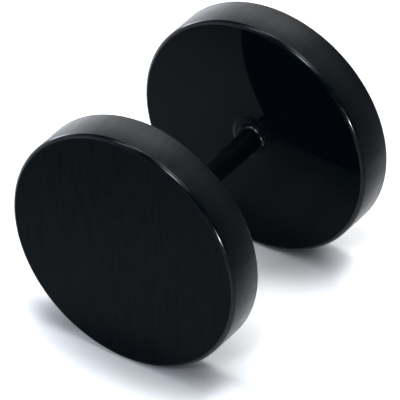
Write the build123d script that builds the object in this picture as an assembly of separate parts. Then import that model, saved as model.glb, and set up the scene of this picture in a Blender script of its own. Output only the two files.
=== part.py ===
from build123d import *
import os

# A fake plug earring: two equal steel discs on a thin post, shaped like a small barbell.
# It lies on both rims. The axis runs along Y, the front disc is at -Y, and the origin is
# on the axis, in the middle of the gap that the ear lobe sits in. Sizes in millimetres.

# Driving dimensions
disc_diameter = 10.0
disc_thickness = 1.7
rim_round = 0.15
ear_gap = 7.0
post_diameter = 0.9
hub_diameter = 1.24
hub_height = 0.25
hub_round = 0.09
hub_foot_round = 0.05
collar_width = 0.31
collar_slope = 0.16
collar_height = 0.07
collar_round = 0.2
thread_diameter = 0.58
thread_pitch = 0.15
thread_depth = 0.08
thread_crest_width = 0.03
thread_neck = 0.12
tail_diameter = 0.58
face_wall = 0.4

# Clearances
press_clearance = 0.01
thread_clearance = 0.03
seat_clearance = 0.02
end_clearance = 0.06
bore_lead = 0.05

# Places along the axis
front_inner_y = -ear_gap / 2
front_outer_y = front_inner_y - disc_thickness
back_inner_y = ear_gap / 2
back_outer_y = back_inner_y + disc_thickness
hub_face_y = back_inner_y - hub_height
collar_y = back_inner_y - collar_height
socket_floor_y = front_outer_y + face_wall
bore_floor_y = back_outer_y - face_wall


def turned(corners):
    """A solid turned about the axis, from the (radius, y) corners of its half outline."""
    return revolve(make_face(Polyline(*corners, close=True)), Axis.Y)


def circles(solid, radius):
    """The round edges of one radius, in order along the axis."""
    edges = solid.edges().filter_by(GeomType.CIRCLE)
    return edges.filter_by(lambda edge: abs(edge.radius - radius) < 1e-6).sort_by(Axis.Y)


def front_disc():
    """The disc worn in front, with a blind socket in its inner face for the post's tail."""
    disc_radius = disc_diameter / 2
    socket_radius = tail_diameter / 2 + press_clearance
    disc = turned([
        (0, front_outer_y),
        (disc_radius, front_outer_y),
        (disc_radius, front_inner_y),
        (socket_radius, front_inner_y),
        (socket_radius, socket_floor_y),
        (0, socket_floor_y),
    ])
    return fillet(circles(disc, disc_radius), rim_round)


def back_disc():
    """The disc that screws off, with a low stepped hub round the blind hole for the thread."""
    disc_radius = disc_diameter / 2
    hub_radius = hub_diameter / 2
    collar_radius = hub_radius + collar_width
    collar_top_radius = collar_radius - collar_slope
    bore_radius = thread_diameter / 2 + thread_clearance
    disc = turned([
        (0, back_outer_y),
        (disc_radius, back_outer_y),
        (disc_radius, back_inner_y),
        (collar_radius, back_inner_y),
        (collar_top_radius, collar_y),
        (hub_radius, collar_y),
        (hub_radius, hub_face_y),
        (bore_radius + bore_lead, hub_face_y),
        (bore_radius, hub_face_y + bore_lead),
        (bore_radius, bore_floor_y),
        (0, bore_floor_y),
    ])
    disc = fillet(circles(disc, disc_radius), rim_round)
    collar_edges = circles(disc, collar_radius) + circles(disc, collar_top_radius)
    disc = fillet(collar_edges, collar_round)
    disc = fillet(circles(disc, hub_radius)[0], hub_round)
    return fillet(circles(disc, hub_radius)[-1], hub_foot_round)


def thread_corners(start_y, end_y):
    """Outline of the threaded tip, whose turns are rings of the real pitch and depth."""
    crest_radius = thread_diameter / 2
    root_radius = crest_radius - thread_depth
    flank = (thread_pitch - thread_crest_width) / 2
    first_y = start_y + thread_neck
    rings = int((end_y - first_y) / thread_pitch)
    corners = [(root_radius, start_y)]
    for ring in range(rings):
        ring_y = first_y + ring * thread_pitch
        corners += [
            (root_radius, ring_y),
            (crest_radius, ring_y + flank),
            (crest_radius, ring_y + flank + thread_crest_width),
        ]
    corners += [
        (root_radius, first_y + rings * thread_pitch),
        (root_radius, end_y),
        (0, end_y),
    ]
    return corners


def post():
    """The thin post: a tail pressed into the front disc, the plain shank and the thread."""
    post_radius = post_diameter / 2
    tail_radius = tail_diameter / 2
    tail_end_y = socket_floor_y + end_clearance
    shoulder_y = hub_face_y - seat_clearance
    tip_end_y = bore_floor_y - end_clearance
    return turned([
        (0, tail_end_y),
        (tail_radius, tail_end_y),
        (tail_radius, front_inner_y),
        (post_radius, front_inner_y),
        (post_radius, shoulder_y),
        *thread_corners(shoulder_y, tip_end_y),
    ])


os.makedirs("parts", exist_ok=True)
export_step(front_disc(), "parts/front_disc.step")
export_step(post(), "parts/post.step")
export_step(back_disc(), "parts/back_disc.step")
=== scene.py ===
import math

import bpy
from mathutils import Matrix, Vector


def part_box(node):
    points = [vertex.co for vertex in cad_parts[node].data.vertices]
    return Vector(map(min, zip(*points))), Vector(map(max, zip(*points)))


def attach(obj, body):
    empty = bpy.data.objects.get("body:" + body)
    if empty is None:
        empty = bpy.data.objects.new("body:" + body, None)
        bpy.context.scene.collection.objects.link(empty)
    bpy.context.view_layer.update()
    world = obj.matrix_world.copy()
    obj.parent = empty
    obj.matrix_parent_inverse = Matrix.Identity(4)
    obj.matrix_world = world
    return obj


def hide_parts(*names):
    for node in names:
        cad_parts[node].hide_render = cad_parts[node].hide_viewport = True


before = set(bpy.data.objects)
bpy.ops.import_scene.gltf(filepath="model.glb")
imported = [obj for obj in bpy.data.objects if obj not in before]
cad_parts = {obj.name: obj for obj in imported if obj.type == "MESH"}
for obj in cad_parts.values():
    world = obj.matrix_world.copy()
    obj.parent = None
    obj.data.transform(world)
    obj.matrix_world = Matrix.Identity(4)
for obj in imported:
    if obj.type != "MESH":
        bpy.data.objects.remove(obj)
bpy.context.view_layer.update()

# The front disc, the one that shows when the earring is worn. It is turned from steel bar,
# its edges are rounded, its faces are buffed, and it is coated black. A blind socket in its
# inner face takes the post's tail.
disc_sides = 256
rim_round = 0.00015
rim_round_steps = 12
rim_round_profile = 0.38
face_guard = 0.00003
socket_radius = 0.0003
socket_depth = 0.0013
true_edge_angle = 40
seam_margin = rim_round / 20
near = 0.000001

front_low, front_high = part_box("front_disc")
disc_radius = (front_high.x - front_low.x) / 2
face_radius = disc_radius - rim_round - face_guard
front_outer_y = front_low.y
front_inner_y = front_high.y


def turned_blank(name, radius, low_y, high_y, sides):
    """A round blank along the axis, with its place in its mesh."""
    bpy.ops.object.select_all(action="DESELECT")
    bpy.ops.mesh.primitive_cylinder_add(
        vertices=sides,
        radius=radius,
        depth=high_y - low_y,
        location=(0, (low_y + high_y) / 2, 0),
        rotation=(math.radians(90), 0, 0),
    )
    bpy.ops.object.transform_apply(location=True, rotation=True, scale=True)
    blank = bpy.context.object
    blank.name = name
    blank.data.name = name
    return blank


def from_axis(point):
    """How far a point is from the earring's axis."""
    return math.hypot(point.x, point.z)


def middle_of(face_y):
    """A test for the flat face that the axis goes through, at one place along it."""
    return lambda point: abs(point.y - face_y) < near and from_axis(point) < near


def circle_of(radius, face_y):
    """A test for the edges of one circle about the axis."""
    return lambda point: abs(point.y - face_y) < near and abs(from_axis(point) - radius) < near


def pick(piece, kind, wanted):
    """Selects, in edit mode, only the edges or faces whose middle passes the test."""
    bpy.ops.object.mode_set(mode="EDIT")
    bpy.ops.mesh.select_mode(type=kind)
    bpy.ops.mesh.select_all(action="DESELECT")
    bpy.ops.object.mode_set(mode="OBJECT")
    mesh = piece.data
    if kind == "FACE":
        for face in mesh.polygons:
            face.select = wanted(face.center)
    else:
        for edge in mesh.edges:
            ends = [mesh.vertices[index].co for index in edge.vertices]
            edge.select = wanted((ends[0] + ends[1]) / 2)
    bpy.ops.object.mode_set(mode="EDIT")


def round_rims(disc, low_y, high_y):
    """Rounds a disc's two rim edges, then holds each face flat with a narrow ring."""
    for face_y in (low_y, high_y):
        pick(disc, "EDGE", circle_of(disc_radius, face_y))
        bpy.ops.mesh.bevel(
            offset=rim_round,
            segments=rim_round_steps,
            profile=rim_round_profile,
            affect="EDGES",
        )
        pick(disc, "FACE", middle_of(face_y))
        bpy.ops.mesh.inset(thickness=face_guard)
    bpy.ops.object.mode_set(mode="OBJECT")


def turn_step(piece, face_y, old_radius, new_radius, rise):
    """Turns a smaller circle in a flat middle face and moves it along the axis."""
    pick(piece, "FACE", middle_of(face_y))
    bpy.ops.mesh.inset(thickness=old_radius - new_radius)
    bpy.ops.mesh.extrude_region_move(TRANSFORM_OT_translate={"value": (0, rise, 0)})
    bpy.ops.object.mode_set(mode="OBJECT")


def finish_surface(piece):
    """Points every face outwards and shades the piece smooth, with its true edges kept."""
    bpy.ops.object.mode_set(mode="EDIT")
    bpy.ops.mesh.select_all(action="SELECT")
    bpy.ops.mesh.normals_make_consistent(inside=False)
    bpy.ops.object.mode_set(mode="OBJECT")
    bpy.ops.object.shade_smooth_by_angle(angle=math.radians(true_edge_angle))


class Shade:
    """One socket of a material's nodes, which sums and products turn into Math nodes."""

    def __init__(self, tree, socket=None):
        self.tree = tree
        self.socket = socket

    def node(self, kind, settings=None, inputs=None, output=0):
        """Adds a node, sets it up, feeds its sockets and gives one of its outputs."""
        made = self.tree.nodes.new("ShaderNode" + kind)
        for name, value in (settings or {}).items():
            setattr(made, name, value)
        for name, value in (inputs or {}).items():
            if isinstance(value, Shade):
                self.tree.links.new(value.socket, made.inputs[name])
            else:
                made.inputs[name].default_value = value
        return Shade(self.tree, made.outputs[output])

    def maths(self, operation, first, second):
        return self.node("Math", {"operation": operation}, {0: first, 1: second})

    def __add__(self, other):
        return self.maths("ADD", self, other)

    def __radd__(self, other):
        return self.maths("ADD", other, self)

    def __sub__(self, other):
        return self.maths("SUBTRACT", self, other)

    def __rsub__(self, other):
        return self.maths("SUBTRACT", other, self)

    def __mul__(self, other):
        return self.maths("MULTIPLY", self, other)

    def __rmul__(self, other):
        return self.maths("MULTIPLY", other, self)


coat_tint = (0.0006, 0.0016, 0.0024)
dust_scale = 2600.0
dust_lot_start = 0.88
dust_lot_end = 0.9
speck_radius = 0.09
speck_core = 0.04


def black_coat(name, index):
    """A new material of black-coated steel, with its shader and its piece's coordinates."""
    material = bpy.data.materials.new(name)
    material.use_nodes = True
    tree = material.node_tree
    shader = tree.nodes["Principled BSDF"]
    shader.inputs["Base Color"].default_value = (*coat_tint, 1)
    shader.inputs["IOR"].default_value = index
    place = Shade(tree).node("TexCoord", output=3)
    return material, shader, place


def feed(shader, socket, value):
    """Links a worked-out value to one of the shader's sockets."""
    value.tree.links.new(value.socket, shader.inputs[socket])


def stand_up(shader, height):
    """Bends the light on a surface as if it stood up by a height, in metres."""
    bump = {"Height": height, "Strength": 1.0, "Distance": 1.0}
    feed(shader, "Normal", height.node("Bump", inputs=bump))


def noise_along(place, stretch, scale, detail=3.0):
    """Noise in the piece's own coordinates, drawn out along the axes with a small stretch."""
    drawn = place.node("Mapping", inputs={"Vector": place, "Scale": stretch})
    return place.node("TexNoise", inputs={"Vector": drawn, "Scale": scale, "Detail": detail})


def ramp(value, low, high):
    """Rises smoothly from 0 to 1 as the value goes from low to high."""
    settings = {"interpolation_type": "SMOOTHSTEP"}
    return value.node("MapRange", settings, {"Value": value, "From Min": low, "From Max": high})


def coat_and(value, colour, tint=coat_tint):
    """The coat's own tint with some of another colour added."""
    inputs = {0: value, 1: colour, 2: tint}
    return value.node("VectorMath", {"operation": "MULTIPLY_ADD"}, inputs)


def dust(place):
    """A few tiny specks, one in about ten of the cells that the surface is cut into."""
    cut = {"Vector": place, "Scale": dust_scale}
    from_speck = place.node("TexVoronoi", inputs=cut)
    lot = place.node("TexVoronoi", inputs=cut, output=1)
    chosen = ramp(lot.node("SeparateColor", inputs={0: lot}), dust_lot_start, dust_lot_end)
    return chosen * ramp(from_speck, speck_radius, speck_core)


face_tint = (0.0005, 0.0014, 0.0021)
face_gloss_tint = (0.88, 1.0, 1.02, 1)
face_dust = 4.0
mark_tint = (0.0004, 0.0006, 0.0009)
mark_stretch = (1.0, 1.0, 0.2)
mark_scale = 6200.0
mark_start = 0.34
mark_end = 0.58
mark_middle = 0.65
mark_roughness = 0.03
outer_index = 1.1
outer_mark_depth = 1.4
outer_roughness = 0.14
inner_index = 1.11
inner_mark_depth = 0.3
inner_roughness = 0.02
dome_curve = 14.2
dome_x = 0.00025
dome_z = -0.00146


def buff(shader, place, mark_depth, roughness):
    """Gives a face its gloss, faint upright buffing marks and dust."""
    shader.inputs["Specular Tint"].default_value = face_gloss_tint
    marks = noise_along(place, mark_stretch, mark_scale)
    grey = mark_depth * (ramp(marks, mark_start, mark_end) - mark_middle)
    feed(shader, "Base Color", coat_and(grey + face_dust * dust(place), mark_tint, face_tint))
    feed(shader, "Roughness", roughness + mark_roughness * marks)


def glossy_face(name):
    """A disc's outer face, buffed but short of a mirror."""
    material, shader, place = black_coat(name, outer_index)
    buff(shader, place, outer_mark_depth, outer_roughness)
    return material


def mirror_face(name):
    """A disc's inner face, buffed to a mirror, with a slight dome that only its gloss shows."""
    material, shader, place = black_coat(name, inner_index)
    buff(shader, place, inner_mark_depth, inner_roughness)
    across = place.node("SeparateXYZ", inputs={0: place}) - dome_x
    up = place.node("SeparateXYZ", inputs={0: place}, output=2) - dome_z
    stand_up(shader, (across * across + up * up) * (-dome_curve / 2))
    return material


rim_index = 1.21
rim_roughness = 0.26
blotch_tint = (0.0006, 0.0006, 0.0006)
blotch_stretch = (1.0, 0.2, 1.0)
blotch_scale = 2400.0
blotch_start = 0.3
blotch_end = 0.75
blotch_roughness = 0.06
blotch_height = 0.000005


def satin_rim(name):
    """The turned rim, less polished than the faces, slightly rippled in blotches along it."""
    material, shader, place = black_coat(name, rim_index)
    blotch = ramp(noise_along(place, blotch_stretch, blotch_scale), blotch_start, blotch_end)
    feed(shader, "Base Color", coat_and(blotch, blotch_tint))
    feed(shader, "Roughness", rim_roughness + blotch_roughness * blotch)
    stand_up(shader, blotch_height * blotch)
    return material


edge_index = 1.25
edge_roughness = 0.12
wear_tint = (0.001, 0.001, 0.001)
wear_stretch = (1.0, 1.0, 1.0)
wear_scale = 3600.0
wear_start = 0.35
wear_end = 0.75
wear_roughness = 0.06


def worn_edge(name, index, roughness):
    """A rounded edge or step, its coat rubbed greyer and duller in patches by handling."""
    material, shader, place = black_coat(name, index)
    patch = ramp(noise_along(place, wear_stretch, wear_scale), wear_start, wear_end)
    feed(shader, "Base Color", coat_and(patch, wear_tint))
    feed(shader, "Roughness", roughness + wear_roughness * patch)
    return material


black_outer = glossy_face("black_outer_face")
black_inner = mirror_face("black_inner_face")
black_rim = satin_rim("black_rim")
black_edge = worn_edge("black_edge", edge_index, edge_roughness)


def add_finish(piece, material):
    """Adds a finish to a piece and gives the number of its slot."""
    piece.data.materials.append(material)
    return len(piece.data.materials) - 1


def dress_disc(disc, outer_y):
    """Gives a disc its four finishes: outer face, inner face, rim and rounded edges."""
    finishes = (black_outer, black_inner, black_rim, black_edge)
    outer, inner, rim, edge = [add_finish(disc, material) for material in finishes]
    for face in disc.data.polygons:
        out = from_axis(face.center)
        if out > disc_radius - seam_margin:
            face.material_index = rim
        elif out > face_radius + face_guard + seam_margin:
            face.material_index = edge
        elif abs(face.center.y - outer_y) < near:
            face.material_index = outer
        else:
            face.material_index = inner


front_disc = turned_blank(
    "front_disc_turned", disc_radius, front_outer_y, front_inner_y, disc_sides
)
round_rims(front_disc, front_outer_y, front_inner_y)
turn_step(front_disc, front_inner_y, face_radius, socket_radius, -socket_depth)
finish_surface(front_disc)
dress_disc(front_disc, front_outer_y)
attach(front_disc, "front")
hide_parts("front_disc")

# The post, the thin steel wire that goes through the ear, drawn and coated black. Its tail
# is pressed into the front disc, its shank is plain, and its tip has a fine rolled thread
# for the back disc.
post_sides = 64
tail_length = 0.00124
tail_radius = 0.00029
root_radius = 0.00021
tip_round = 0.00004
tip_round_steps = 3
shoulder_gap = 0.00002
thread_foot_radius = 0.0002
thread_crest_radius = 0.00029
thread_pitch = 0.00015
thread_foot_share = 0.98
thread_crest_share = 0.2
thread_turns = 8
thread_steps = 48
thread_neck = 0.00012
post_index = 1.13
post_tint = (0.0004, 0.0008, 0.0012)
post_dust = 3.0
post_roughness = 0.28
drawing_tint = (0.0002, 0.0002, 0.0002)
drawing_stretch = (1.0, 0.06, 1.0)
drawing_scale = 9000.0
drawing_detail = 2.0
drawing_start = 0.35
drawing_end = 0.7
drawing_roughness = 0.16

post_low, post_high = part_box("post")
back_low, back_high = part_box("back_disc")
post_radius = (post_high.x - post_low.x) / 2
shoulder_y = back_low.y - shoulder_gap

post = turned_blank("post_turned", post_radius, front_inner_y, shoulder_y, post_sides)
turn_step(post, front_inner_y, post_radius, tail_radius, -tail_length)
turn_step(post, shoulder_y, post_radius, root_radius, post_high.y - shoulder_y)
pick(post, "EDGE", circle_of(root_radius, post_high.y))
bpy.ops.mesh.bevel(offset=tip_round, segments=tip_round_steps, affect="EDGES")
bpy.ops.object.mode_set(mode="OBJECT")

bpy.ops.object.select_all(action="DESELECT")
thread_y = shoulder_y + thread_neck + thread_pitch / 2
thread_middle = (thread_foot_radius + thread_crest_radius) / 2
thread_height = thread_crest_radius - thread_foot_radius
bpy.ops.mesh.primitive_plane_add(size=thread_pitch, location=(thread_middle, thread_y, 0))
ridge = bpy.context.object
ridge.scale = (thread_height / thread_pitch, thread_foot_share, 1)
bpy.ops.object.transform_apply(location=True, rotation=True, scale=True)
pick(ridge, "EDGE", lambda point: point.x > thread_crest_radius - near)
bpy.ops.transform.resize(value=(1, thread_crest_share, 1))
bpy.ops.mesh.select_all(action="SELECT")
bpy.ops.mesh.delete(type="ONLY_FACE")
bpy.ops.object.mode_set(mode="OBJECT")
winding = ridge.modifiers.new("winding", "SCREW")
winding.axis = "Y"
winding.screw_offset = thread_pitch
winding.iterations = thread_turns
winding.steps = thread_steps
winding.render_steps = thread_steps
bpy.ops.object.modifier_apply(modifier="winding")
bpy.ops.object.mode_set(mode="EDIT")
bpy.ops.mesh.select_all(action="SELECT")
bpy.ops.mesh.fill_holes(sides=4)
bpy.ops.object.mode_set(mode="OBJECT")
post.select_set(True)
bpy.context.view_layer.objects.active = post
bpy.ops.object.join()
finish_surface(post)

black_post, post_shader, post_place = black_coat("black_post", post_index)
drawing = noise_along(post_place, drawing_stretch, drawing_scale, drawing_detail)
post_grey = ramp(drawing, drawing_start, drawing_end) + post_dust * dust(post_place)
feed(post_shader, "Base Color", coat_and(post_grey, drawing_tint, post_tint))
feed(post_shader, "Roughness", post_roughness + drawing_roughness * drawing)
add_finish(post, black_post)
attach(post, "front")
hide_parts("post")

# The back disc, which screws onto the post behind the ear. It is turned, buffed and coated
# as the front disc is, and a low hub with a rounded edge stands on a sloping collar round
# its blind hole. The coat on the hub's edge is rubbed brighter at its upper right.
hub_radius = 0.00062
hub_round = 0.00009
hub_round_steps = 8
hub_foot_round = 0.00005
hub_foot_round_steps = 4
collar_radius = 0.00093
collar_top_radius = 0.00077
collar_height = 0.00007
collar_round = 0.000042
collar_round_steps = 5
bore_radius = 0.00032
bore_lead = 0.00005
bore_depth = 0.0015
collar_index = 1.1
rubbed_index = 1.36
hub_roughness = 0.2
rubbed_from = -15
rubbed_to = 92

back_inner_y = back_high.y - (front_high.y - front_low.y)
back_outer_y = back_high.y
collar_y = back_inner_y - collar_height
hub_y = back_low.y

back_disc = turned_blank(
    "back_disc_turned", disc_radius, back_inner_y, back_outer_y, disc_sides
)
round_rims(back_disc, back_inner_y, back_outer_y)
pick(back_disc, "FACE", middle_of(back_inner_y))
bpy.ops.mesh.inset(thickness=face_radius - collar_radius)
bpy.ops.mesh.inset(thickness=collar_radius - collar_top_radius, depth=collar_height)
bpy.ops.mesh.inset(thickness=collar_top_radius - hub_radius)
bpy.ops.mesh.extrude_region_move(TRANSFORM_OT_translate={"value": (0, hub_y - collar_y, 0)})
bpy.ops.mesh.inset(thickness=hub_radius - bore_radius - bore_lead)
bpy.ops.mesh.inset(thickness=bore_lead, depth=-bore_lead)
bpy.ops.mesh.extrude_region_move(TRANSFORM_OT_translate={"value": (0, bore_depth, 0)})
for radius, face_y, offset, segments in (
    (collar_radius, back_inner_y, collar_round, collar_round_steps),
    (collar_top_radius, collar_y, collar_round, collar_round_steps),
    (hub_radius, collar_y, hub_foot_round, hub_foot_round_steps),
    (hub_radius, hub_y, hub_round, hub_round_steps),
):
    pick(back_disc, "EDGE", circle_of(radius, face_y))
    bpy.ops.mesh.bevel(offset=offset, segments=segments, affect="EDGES")
bpy.ops.object.mode_set(mode="OBJECT")
finish_surface(back_disc)
dress_disc(back_disc, back_outer_y)

collar_slot = add_finish(back_disc, worn_edge("black_collar", collar_index, hub_roughness))
rubbed_slot = add_finish(back_disc, worn_edge("rubbed_hub", rubbed_index, hub_roughness))
for face in back_disc.data.polygons:
    out = from_axis(face.center)
    round_from_top = math.degrees(math.atan2(face.center.x, face.center.z))
    on_hub_edge = (
        hub_radius - hub_round - near < out < hub_radius + near
        and face.center.y < hub_y + hub_round + near
    )
    if on_hub_edge and rubbed_from < round_from_top < rubbed_to:
        face.material_index = rubbed_slot
    elif out < collar_radius + collar_round and face.center.y < back_inner_y - near:
        face.material_index = collar_slot
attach(back_disc, "back")
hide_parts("back_disc")

# The white table that the earring lies on, on both rims. It is a sheet of matt paper whose
# colour is painted brighter towards the back left and darker to the right and to the front, as
# painted light and shade. Soft ovals of painted shadow and painted light deepen or lift its
# tone round where the rims rest, each given by its middle, its half sizes and its tone.
table_radius = 3.0
table_sides = 96
table_tone = 0.66
table_roughness = 0.9
lit_side = (-0.75, 0.66, 0)
lit_start = 0.01
lit_end = 0.05
lit_gain = 0.45
dim_side = (0.95, 0.32, 0)
dim_start = 0.004
dim_end = 0.019
dim_loss = 0.72
front_side = (-0.4, -0.92, 0)
front_start = 0.009
front_end = 0.018
front_loss = 0.4
oval_core = 0.35
oval_rim = 1.05
# Painted shadow and light: five ovals darken the table round the rims' resting places and two
# lighten it beside them.
painted_shadow_ovals = (
    (0.0007, -0.0042, 0.0056, 0.0033, 0.59),
    (0.0004, 0.0036, 0.0048, 0.0027, 0.59),
    (-0.0032, -0.0042, 0.002, 0.0012, 0.58),
    (0.0029, -0.0018, 0.0014, 0.0016, 0.83),
    (0.0029, 0.006, 0.0014, 0.0012, 0.82),
    (0.0046, -0.005, 0.001, 0.0013, 1.24),
    (0.0043, 0.0045, 0.0009, 0.0017, 1.2),
)

bpy.ops.object.select_all(action="DESELECT")
bpy.ops.mesh.primitive_circle_add(
    vertices=table_sides,
    radius=table_radius,
    fill_type="NGON",
    location=(0, 0, front_low.z),
)
white_table = bpy.context.object
white_table.name = "white_table"
table_material = bpy.data.materials.new("white_table")
table_material.use_nodes = True
table_shader = table_material.node_tree.nodes["Principled BSDF"]


def towards(value, side):
    """How far a vector goes towards one side."""
    return value.node("VectorMath", {"operation": "DOT_PRODUCT"}, {0: value, 1: side}, 1)


def painted_oval_shade(spot, x, y, half_width, half_length, tone):
    """A painted shadow or painted light in one oval of the table: its tone inside, 1 outside,
    with a soft step between.
    """
    scale = (1 / half_width, 1 / half_length, 0)
    shift = (-x / half_width, -y / half_length, 0)
    inputs = {0: spot, 1: scale, 2: shift}
    off = spot.node("VectorMath", {"operation": "MULTIPLY_ADD"}, inputs)
    off = off.node("VectorMath", {"operation": "LENGTH"}, {0: off}, 1)
    return tone + (1.0 - tone) * ramp(off, oval_core, oval_rim)


table_spot = Shade(table_material.node_tree).node("TexCoord", output=3)
# Painted light and shade: the table's colour is raised towards the back left and lowered to the
# right and to the front, where the light falls off.
painted_light_gain = 1.0 + lit_gain * ramp(towards(table_spot, lit_side), lit_start, lit_end)
painted_dim_side_shade = 1.0 - dim_loss * ramp(towards(table_spot, dim_side), dim_start, dim_end)
painted_front_shade = 1.0 - front_loss * ramp(towards(table_spot, front_side), front_start, front_end)
paper_with_painted_shade = table_tone * (painted_light_gain * painted_dim_side_shade * painted_front_shade)
for oval in painted_shadow_ovals:
    paper_with_painted_shade = paper_with_painted_shade * painted_oval_shade(table_spot, *oval)
feed(table_shader, "Base Color", paper_with_painted_shade)
table_shader.inputs["Roughness"].default_value = table_roughness
table_shader.inputs["Specular IOR Level"].default_value = 0.0
add_finish(white_table, table_material)

# The studio light: soft round diffusers, each given by its brightness, its azimuth, its
# elevation and how tightly it is gathered. The ones in front and at the left are a little
# bluer. A small lamp at the front right, near the table, draws the glint on each rim edge.

# Most of these rows are rounded from a least-squares fit of trial lights to the photograph.
white_diffusers = (
    (22.0, 70, 76, 140),
    (9.0, 2, 78, 250),
    (39.0, -65, 76, 250),
    (8.0, 80, 70, 150),
    (7.0, 140, 65, 40),
    (5.0, 70, 75, 66),
    (1.9, 45, 76, 66),
    (1.8, -48, 2, 30),
    (2.4, -44, 24, 30),
    (1.8, -34, 37, 30),
    (4.0, -18, 46, 30),
    (1.4, 24, 44, 30),
    (0.6, 43, 27, 30),
    (0.4, 48, 5, 30),
)
cool_diffusers = (
    (11.0, -138, 48, 150),
    (2.0, -128, 8, 12),
    (55.0, 167, 42, 250),
    (15.0, -110, 70, 150),
    (20.0, -75, 5, 40),
)
cool_tint = (0.9, 0.99, 1.16)
lamp_azimuth = 133
lamp_elevation = 4
lamp_distance = 0.6
lamp_width = 0.016
lamp_radiance = 2400.0

scene = bpy.context.scene
scene.view_settings.view_transform = "Standard"
scene.view_settings.look = "None"


def direction(azimuth, elevation):
    """A unit step from the earring, with azimuth 0 towards +Y and 90 towards +X, in degrees."""
    turn, rise = math.radians(azimuth), math.radians(elevation)
    return (math.sin(turn) * math.cos(rise), math.cos(turn) * math.cos(rise), math.sin(rise))


def glow_of(ray, diffusers):
    """The summed glow of some diffusers in the direction that a ray leaves in."""
    total = 0.0
    for radiance, azimuth, elevation, focus in diffusers:
        facing = ray.maths("MAXIMUM", towards(ray, direction(azimuth, elevation)), 0.0)
        total = total + radiance * ray.maths("POWER", facing, focus)
    return total


room = bpy.data.worlds.new("studio")
scene.world = room
room.use_nodes = True
ray = Shade(room.node_tree).node("TexCoord")
glows = {0: glow_of(ray, cool_diffusers), 1: cool_tint, 2: glow_of(ray, white_diffusers)}
light_colour = ray.node("VectorMath", {"operation": "MULTIPLY_ADD"}, glows)
backdrop = room.node_tree.nodes["Background"]
room.node_tree.links.new(light_colour.socket, backdrop.inputs["Color"])
backdrop.inputs["Strength"].default_value = 1.0

lamp_light = bpy.data.lights.new("table_lamp", "AREA")
lamp_light.shape = "SQUARE"
lamp_light.size = lamp_width
lamp_light.energy = lamp_radiance * math.pi * lamp_width ** 2
table_lamp = bpy.data.objects.new("table_lamp", lamp_light)
scene.collection.objects.link(table_lamp)
lamp_side = Vector(direction(lamp_azimuth, lamp_elevation))
table_lamp.location = lamp_side * lamp_distance
table_lamp.rotation_euler = lamp_side.to_track_quat("Z", "Y").to_euler()
table_lamp.visible_camera = False

# The camera: a long lens well away from the earring, at its front right, and raised as
# steeply above the table as the photograph's.
camera_azimuth = 146.17
camera_elevation = 37.22
camera_roll = 0.6
camera_distance = 0.2735
camera_lens = 656.8
camera_sensor = 36
camera_reach = 10
aim_right = -0.00004
aim_up = -0.00063

back = Vector(direction(camera_azimuth, camera_elevation))
right = Vector((0, 0, 1)).cross(back).normalized()
up = back.cross(right)
roll = Matrix.Rotation(math.radians(camera_roll), 3, back)
right, up = roll @ right, roll @ up
camera = bpy.data.objects.new("camera", bpy.data.cameras.new("camera"))
scene.collection.objects.link(camera)
camera.data.lens = camera_lens
camera.data.sensor_width = camera_sensor
camera.data.clip_end = camera_reach
camera.location = back * camera_distance + right * aim_right + up * aim_up
camera.rotation_euler = Matrix((right, up, back)).transposed().to_euler()
scene.camera = camera
